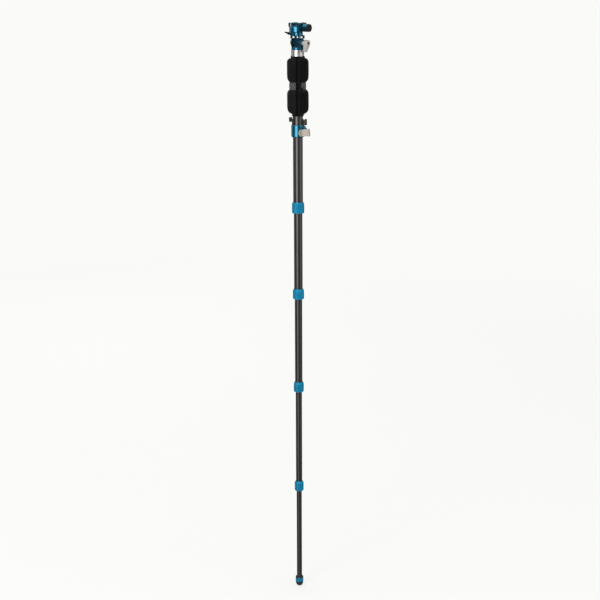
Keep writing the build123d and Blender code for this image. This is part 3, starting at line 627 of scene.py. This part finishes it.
lower_profile = pad_profile(LOW_END_R, GRIP_LOW, 31.0, WAIST_LOW, waist_shoulder=20.0)
upper_profile = pad_profile(HIGH_END_R, GRIP_HIGH, 22.0, WAIST_HIGH, waist_shoulder=25.0)
pads = []
for name, profile, ends in (
    ("grip_lower_foam", lower_profile, (GRIP_LOW, WAIST_LOW)),
    ("grip_upper_foam", upper_profile, (WAIST_HIGH, GRIP_HIGH)),
):
    pad = ring_mesh(name, profile, grip_knit, groove_depth=2.4, shrink=0.15)
    inflate(pad, ends, reach=0.9, pressure=1.6)
    crumple(pad, 0.5)
    subdivide(pad)
    pads.append(pad)
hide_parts("grip_lower_pad")
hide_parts("grip_upper_pad")

band = ring_mesh("grip_waist_knit", band_profile(), waist_knit, groove_depth=0.6)
crumple(band, 0.25)
subdivide(band)
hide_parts("grip_waist_band")
pads.append(band)
for pad in pads:
    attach(pad, "handle")


# The sleeve's finished surface, for what lies on it

def tree_of(objects):
    verts = []
    faces = []
    for obj in objects:
        base = len(verts)
        verts.extend(v.co.copy() for v in obj.data.vertices)
        faces.extend([base + i for i in p.vertices] for p in obj.data.polygons)
    return BVHTree.FromPolygons(verts, faces)


def surface_radius(tree, turn, z):
    """How far out the sleeve's surface is at this angle and height."""
    well_outside = 0.08
    out = Vector((math.cos(turn), math.sin(turn), 0.0))
    hit = tree.ray_cast(out * well_outside + Vector((0.0, 0.0, z * MM)), -out)[0]
    if hit is None:
        return WAIST_R
    return math.hypot(hit.x, hit.y) / MM


sleeve_tree = tree_of(pads)
CELL = 1.5
rows = round((GRIP_HIGH - GRIP_LOW) / CELL)
heights = [GRIP_LOW + (GRIP_HIGH - GRIP_LOW) * k / rows for k in range(rows + 1)]


def plain_radius(z):
    """The sleeve's radius with no groove in it, a mean over some directions clear of the groove."""
    directions = [FRONT + math.radians(degrees) for degrees in range(25, 97, 6)]
    return sum(surface_radius(sleeve_tree, turn, z) for turn in directions) / len(directions)


level_radius = [plain_radius(z) for z in heights]


# The wrapped flap: its outline is worked out on the sleeve's unrolled surface

FLAP_END = math.radians(117.0)
FLAP_MARGIN = 8.0
FLAP_COLUMNS = 62
EDGE_INSET = 0.5
CORNER = 14.0
STRIP = 10.0
WINDOW_U = SEAM_U + STRIP
WINDOW_CORNER = 4.0
CUT_CORNER = (5.5, 4.5)
CUT_NORMAL = (-0.78, -0.62)
CLOTH_LIFT = 0.45
END_LIMIT = 0.6
NEAR_OUTLINE = CELL * 0.9
MOST_OUTSIDE = CELL * 0.55


def rounded(px, py, half_x, half_y, radius):
    """Distance from a point to a rounded rectangle round the origin, negative inside."""
    qx = abs(px) - half_x + radius
    qy = abs(py) - half_y + radius
    return math.hypot(max(qx, 0.0), max(qy, 0.0)) + min(max(qx, qy), 0.0) - radius


def flap_distance(u, z):
    """Distance to the flap's outline, negative inside. To the right the flap runs on without end."""
    endless = 400.0
    whole = rounded(u - SEAM_U - endless, z - GRIP_MIDDLE, endless,
                    (GRIP_HIGH - GRIP_LOW) / 2 - EDGE_INSET, CORNER)
    window = rounded(u - WINDOW_U - endless, z - WAIST_MIDDLE, endless,
                     (WAIST_HIGH - WAIST_LOW) / 2, WINDOW_CORNER)
    cut_corner = ((u - WINDOW_U - CUT_CORNER[0]) * CUT_NORMAL[0]
                  + (z - WAIST_LOW - CUT_CORNER[1]) * CUT_NORMAL[1])
    return max(whole, -max(window, cut_corner))


def drawn_to_outline(u, z):
    """The same place, or the outline's nearest one when that is within a cell."""
    step = 0.05
    for _ in range(3):
        d = flap_distance(u, z)
        if abs(d) > NEAR_OUTLINE:
            break
        du = (flap_distance(u + step, z) - flap_distance(u - step, z)) / (2 * step)
        dz = (flap_distance(u, z + step) - flap_distance(u, z - step)) / (2 * step)
        size = math.hypot(du, dz) or 1.0
        u -= d * du / size
        z -= d * dz / size
    return u, z


def flap_mesh():
    """The flap's points and faces, from the cells of a grid that lie inside its outline or nearly so."""
    start = -FLAP_MARGIN / CROWN_R
    turns = [start + (FLAP_END - start) * k / FLAP_COLUMNS for k in range(FLAP_COLUMNS + 1)]
    numbers = {}
    verts = []
    faces = []

    def number(i, k):
        """The number of the point at this place in the grid, which is made when it is first asked for."""
        if (i, k) not in numbers:
            r = level_radius[k]
            u, z = drawn_to_outline(turns[i] * r, heights[k])
            turn = FRONT + u / r
            level = min(max(z, GRIP_LOW + END_LIMIT), GRIP_HIGH - END_LIMIT)
            numbers[(i, k)] = len(verts)
            verts.append(polar(surface_radius(sleeve_tree, turn, level) + CLOTH_LIFT, turn, z))
        return numbers[(i, k)]

    for i in range(FLAP_COLUMNS):
        for k in range(rows):
            corners = ((i, k), (i + 1, k), (i + 1, k + 1), (i, k + 1))
            farthest = max(flap_distance(turns[a] * level_radius[b], heights[b]) for a, b in corners)
            if farthest < MOST_OUTSIDE:
                faces.append(tuple(number(a, b) for a, b in corners))
    return verts, faces


flap = link_object("grip_flap_cover", *flap_mesh(), flap_knit)
relax = flap.modifiers.new("relax", "SMOOTH")
relax.factor = 0.5
relax.iterations = 2
thicken = flap.modifiers.new("thickness", "SOLIDIFY")
thicken.thickness = 1.0 * MM
thicken.offset = 1.0
apply_modifiers(flap)
subdivide(flap)
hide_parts("grip_flap")
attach(flap, "handle")


# A flat black strip beside the flap's free edge, dipping into the groove under it: a painted shadow of the
# flap's edge

SHADOW_BINDING_SECTION = (
    (SHADOW_BAND_U, -0.5), (SHADOW_BAND_U + 0.15, 0.2), (SHADOW_BAND_U + 0.6, 0.42), (-5.0, 0.45), (-3.2, 0.42), (-1.9, 0.4),
    (-0.9, 0.3), (0.0, 0.2), (0.8, 0.15), (SEAM_U + 0.6, -0.2), (SEAM_U + 0.6, -0.8), (-2.0, -0.7),
)
SHADOW_BINDING_STEPS = 100
SHADOW_BINDING_MIDDLE = -6.0
SHADOW_BINDING_SHORT = 1.2


def shadow_binding_mesh():
    verts = []
    for k in range(SHADOW_BINDING_STEPS + 1):
        z = GRIP_LOW + SHADOW_BINDING_SHORT + (GRIP_HIGH - GRIP_LOW - 2 * SHADOW_BINDING_SHORT) * k / SHADOW_BINDING_STEPS
        middle_radius = surface_radius(sleeve_tree, FRONT + SHADOW_BINDING_MIDDLE / CROWN_R, z)
        for u, rise in SHADOW_BINDING_SECTION:
            turn = FRONT + u / middle_radius
            verts.append(polar(surface_radius(sleeve_tree, turn, z) + rise, turn, z))
    return verts, rod_faces(SHADOW_BINDING_STEPS + 1, len(SHADOW_BINDING_SECTION))


shadow_binding = link_object("grip_seam_shadow_binding", *shadow_binding_mesh(), hem_and_shadow_binding_knit)
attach(shadow_binding, "handle")


# Stitching: short threads that follow the flap's edge, and rows round the sleeve's ends

cover_tree = tree_of(pads + [flap])
STITCH_PITCH = 3.1
STITCH_LENGTH = 2.3
STITCH_R = 0.26
STITCH_INSET = 2.6
STITCH_LIFT = 0.12
MEAN_R = 33.0
HIGH_LINE_SHARE = 0.62
LOW_LINE_SHARE = 0.58
WINDOW_LINE_SHARE = 0.75
ROW_STITCHES = 64
ROW_SHARE = 0.7
ROW_STITCH_R = 0.24
ROW_LIFT = 0.1
ROW_FROM_WAIST = 1.6
ROW_FROM_END = 3.0
STITCH_SHAPE = ((0.0, 0.35, -0.6), (0.12, 0.8, -0.1), (0.35, 1.0, 0.25),
                (0.65, 1.0, 0.25), (0.88, 0.8, -0.1), (1.0, 0.35, -0.6))
STITCH_SIDES = 6


def add_stitch(verts, faces, a, b, radius):
    """A thread from a to b that dips into the cloth at both ends."""
    along = (b - a).normalized()
    side = along.orthogonal().normalized()
    other = along.cross(side)
    out = Vector(((a + b).x, (a + b).y, 0.0)).normalized()
    faces.extend(rod_faces(len(STITCH_SHAPE), STITCH_SIDES, base=len(verts)))
    for share, size, lift in STITCH_SHAPE:
        centre = a.lerp(b, share) + out * lift * radius
        for k in range(STITCH_SIDES):
            angle = 2 * math.pi * k / STITCH_SIDES
            verts.append(centre + (side * math.cos(angle) + other * math.sin(angle)) * radius * size)


def on_cover(turn, z, lift):
    """A place just above the flap or the sleeve."""
    return polar(surface_radius(cover_tree, turn, z) + lift, turn, z)


def between(a, b, share):
    return a[0] + (b[0] - a[0]) * share, a[1] + (b[1] - a[1]) * share


def stitches_along(points):
    """The two ends of each stitch along a line of (u, z) points, a stitch and then a gap."""
    fine_step = 0.25
    placed = []
    for a, b in zip(points, points[1:]):
        steps = max(1, round(math.dist(a, b) / fine_step))
        placed += [between(a, b, k / steps) for k in range(steps)]
    pairs = []
    travelled = 0.0
    start = None
    for a, b in zip(placed, placed[1:]):
        travelled += math.dist(a, b)
        phase = travelled % STITCH_PITCH
        if start is None and phase < STITCH_LENGTH:
            start = a
        elif start is not None and phase >= STITCH_LENGTH:
            pairs.append((start, a))
            start = None
    return pairs


def arc(cu, cz, radius, a0, a1, steps=10):
    """Points on an arc from angle a0 to a1, in degrees."""
    angles = [math.radians(a0 + (a1 - a0) * k / steps) for k in range(steps + 1)]
    return [(cu + radius * math.cos(angle), cz + radius * math.sin(angle)) for angle in angles]


def flap_turn(u, z):
    """The angle of a place u on the flap at this height."""
    row = min(max(round((z - GRIP_LOW) / CELL), 0), rows)
    return FRONT + u / level_radius[row]


def stitch_lines():
    """The lines along the flap's outer edge and along its window, as (u, z) points."""
    end_u = FLAP_END * MEAN_R
    corner_u = SEAM_U + CORNER
    edge_high = GRIP_HIGH - EDGE_INSET
    edge_low = GRIP_LOW + EDGE_INSET
    edge = [(end_u * HIGH_LINE_SHARE, edge_high - STITCH_INSET)]
    edge += arc(corner_u, edge_high - CORNER, CORNER - STITCH_INSET, 90, 180)
    edge += arc(corner_u, edge_low + CORNER, CORNER - STITCH_INSET, 180, 270)
    edge += [(end_u * LOW_LINE_SHARE, edge_low + STITCH_INSET)]
    corner_u = WINDOW_U + WINDOW_CORNER
    window = [(end_u * WINDOW_LINE_SHARE, WAIST_LOW - STITCH_INSET)]
    window += arc(corner_u, WAIST_LOW + WINDOW_CORNER, WINDOW_CORNER + STITCH_INSET, 270, 180)
    window += arc(corner_u, WAIST_HIGH - WINDOW_CORNER, WINDOW_CORNER + STITCH_INSET, 180, 90)
    window += [(end_u * WINDOW_LINE_SHARE, WAIST_HIGH + STITCH_INSET)]
    return edge, window


stitch_verts = []
stitch_faces = []
for line in stitch_lines():
    for stitch in stitches_along(line):
        a, b = (on_cover(flap_turn(u, z), z, STITCH_LIFT) for u, z in stitch)
        add_stitch(stitch_verts, stitch_faces, a, b, STITCH_R * MM)
for level in (WAIST_LOW - ROW_FROM_WAIST, WAIST_HIGH + ROW_FROM_WAIST,
              GRIP_LOW + ROW_FROM_END, GRIP_HIGH - ROW_FROM_END):
    for k in range(ROW_STITCHES):
        turns = [2 * math.pi * (k + share) / ROW_STITCHES for share in (0.0, ROW_SHARE)]
        a, b = (on_cover(turn, level, ROW_LIFT) for turn in turns)
        add_stitch(stitch_verts, stitch_faces, a, b, ROW_STITCH_R * MM)
stitches = link_object("grip_stitching", stitch_verts, stitch_faces, seam_thread)
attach(stitches, "handle")


# Bound hems round the sleeve's open ends

def hem(name, radius, z, thickness, sections=96, sides=10):
    """A rolled, slightly wavy hem, taller than it is thick."""
    verts = []
    for i in range(sections):
        turn = 2 * math.pi * i / sections
        wave = 0.12 * math.sin(turn * 11.0) + 0.1 * math.sin(turn * 5.0 + 1.0)
        for k in range(sides):
            angle = 2 * math.pi * k / sides
            r = radius + thickness * math.cos(angle) + wave * 0.4
            verts.append(polar(r, turn, z + thickness * 1.5 * math.sin(angle) + wave))
    made = link_object(name, verts, ring_faces(sections, sides), hem_and_shadow_binding_knit)
    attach(made, "handle")


hem("grip_lower_hem", LOW_END_R - 0.5, GRIP_LOW + 0.9, thickness=0.9)
hem("grip_upper_hem", HIGH_END_R - 0.5, GRIP_HIGH - 1.1, thickness=0.75)


# Light: what shiny surfaces see, the floor, the world and the soft boxes

# Each tall box is given by its direction and half width in degrees, and its strength
GLOSSY_BASE = 0.12
GLOSSY_BOXES = ((-80.0, 26.0, 2.9), (-168.0, 32.0, 0.30), (16.0, 34.0, 0.8))
GLOSSY_CORE = 0.35


def glossy_surroundings(tree, direction):
    """A brightness by direction: tall soft boxes round the object, and dim between them."""
    x, y, _ = tree.parts(direction)
    turn = tree.math("ARCTAN2", y, x)
    total = GLOSSY_BASE
    for centre, width, strength in GLOSSY_BOXES:
        nearness = tree.math("COSINE", tree.minus(turn, math.radians(centre)))
        within = (math.cos(math.radians(width)), math.cos(math.radians(width * GLOSSY_CORE)))
        total = tree.plus(tree.spread(nearness, 0.0, strength, within, "SMOOTHSTEP"), total)
    return total


FLOOR_REACH = 150.0
FLOOR_COLOUR = (0.935, 0.925, 0.91)
SEEN_COLOUR = (0.925, 0.933, 0.918)
LIFT_COLOUR = (0.956, 0.965, 0.940)
LIFT = 0.75
TONE_SCALE = 0.1
SEEN_TONES = ((0.0, 0.735), (0.11, 0.76), (0.21, 0.775), (0.33, 0.805),
              (0.42, 0.87), (0.52, 0.955), (0.65, 0.985), (1.0, 1.0))


def floor_material():
    """White paper: evened out for the camera, and a dim studio for what shiny surfaces mirror."""
    material = bpy.data.materials.new("studio_floor")
    tree = Nodes(material, "ShaderNodeOutputMaterial")
    coords = tree.node("ShaderNodeTexCoord").outputs["Object"]
    ray = tree.node("ShaderNodeLightPath").outputs
    length = tree.node("ShaderNodeVectorMath", operation="LENGTH")
    tree.put(length.inputs[0], coords)
    distance = length.outputs["Value"]
    stops = [(place, tuple(channel * share for channel in SEEN_COLOUR)) for place, share in SEEN_TONES]
    tone = tree.ramp(tree.times(distance, TONE_SCALE), stops)
    colour = tree.mix(ray["Is Camera Ray"], FLOOR_COLOUR, tone)
    paper = tree.source("ShaderNodeBsdfDiffuse", Color=colour)
    glow = tree.source("ShaderNodeEmission", Color=LIFT_COLOUR)
    lifted = tree.blend(tree.times(ray["Is Camera Ray"], LIFT), paper, glow)
    near_dimming = tree.spread(distance, 0.26, 1.0, within=(0.3, 9.0))
    mirrored = tree.times(glossy_surroundings(tree, coords), near_dimming)
    studio = tree.source("ShaderNodeEmission", Strength=mirrored)
    tree.put(tree.surface, tree.blend(ray["Is Glossy Ray"], lifted, studio))
    return material


floor_corners = [(-FLOOR_REACH, -FLOOR_REACH, 0), (FLOOR_REACH, -FLOOR_REACH, 0),
                 (FLOOR_REACH, FLOOR_REACH, 0), (-FLOOR_REACH, FLOOR_REACH, 0)]
floor_mesh = bpy.data.meshes.new("studio_floor")
floor_mesh.from_pydata(floor_corners, [], [(0, 1, 2, 3)])
floor_mesh.materials.append(floor_material())
floor = bpy.data.objects.new("studio_floor", floor_mesh)
bpy.context.scene.collection.objects.link(floor)

WORLD_COLOUR = (1.0, 0.995, 0.985)
WORLD_STRENGTH = 1.04
OVERHEAD_STRENGTH = 1.1
OVERHEAD_HEIGHTS = (0.35, 0.85)

world = bpy.data.worlds.new("studio")
bpy.context.scene.world = world
sky = Nodes(world, "ShaderNodeOutputWorld")
direction = sky.node("ShaderNodeTexCoord").outputs["Generated"]
overhead = sky.spread(sky.parts(direction)[2], 0.0, OVERHEAD_STRENGTH, OVERHEAD_HEIGHTS)
even = sky.source("ShaderNodeBackground", Color=WORLD_COLOUR, Strength=WORLD_STRENGTH)
boxes = sky.source("ShaderNodeBackground", Strength=sky.plus(glossy_surroundings(sky, direction), overhead))
sky.put(sky.surface, sky.blend(sky.node("ShaderNodeLightPath").outputs["Is Glossy Ray"], even, boxes))

AIM = Vector((0.0, 0.0, 1.1))


def soft_box(name, turn, distance, height, size, power):
    """A soft box at this angle in degrees, aimed a little above the part's middle and unseen itself."""
    light = bpy.data.lights.new(name, "AREA")
    light.shape = "RECTANGLE"
    light.size, light.size_y = size
    light.energy = power
    made = bpy.data.objects.new(name, light)
    bpy.context.scene.collection.objects.link(made)
    angle = math.radians(turn)
    made.location = Vector((distance * math.cos(angle), distance * math.sin(angle), height))
    made.rotation_euler = (AIM - made.location).to_track_quat("-Z", "Y").to_euler()
    made.visible_camera = False
    made.visible_glossy = False


soft_box("key_soft_box", turn=-88.0, distance=3.2, height=2.6, size=(1.4, 2.4), power=70.0)
soft_box("side_soft_box", turn=5.0, distance=3.4, height=2.2, size=(1.2, 2.4), power=26.0)
soft_box("rear_soft_box", turn=150.0, distance=3.6, height=2.8, size=(1.6, 2.4), power=30.0)


# The photograph's camera

PHOTO_TURN = math.radians(37.0)
DISTANCE = 4.0
EYE = 2.186
PITCH = math.radians(15.673)
YAW = math.radians(0.0738)
ROLL = math.radians(0.2)
SENSOR_WIDTH = 36.0
LENS = 74.05
FAR_END = 500.0

camera_data = bpy.data.cameras.new("photo_camera")
camera_data.sensor_width = SENSOR_WIDTH
camera_data.lens = LENS
camera_data.clip_end = FAR_END
camera = bpy.data.objects.new("photo_camera", camera_data)
bpy.context.scene.collection.objects.link(camera)
camera.location = (DISTANCE * math.sin(PHOTO_TURN), -DISTANCE * math.cos(PHOTO_TURN), EYE)
heading = Matrix.Rotation(PHOTO_TURN - YAW, 4, "Z")
tilt_down = Matrix.Rotation(math.pi / 2 - PITCH, 4, "X")
camera.rotation_euler = (heading @ tilt_down @ Matrix.Rotation(-ROLL, 4, "Z")).to_euler()
bpy.context.scene.camera = camera
bpy.context.scene.view_settings.view_transform = "Standard"
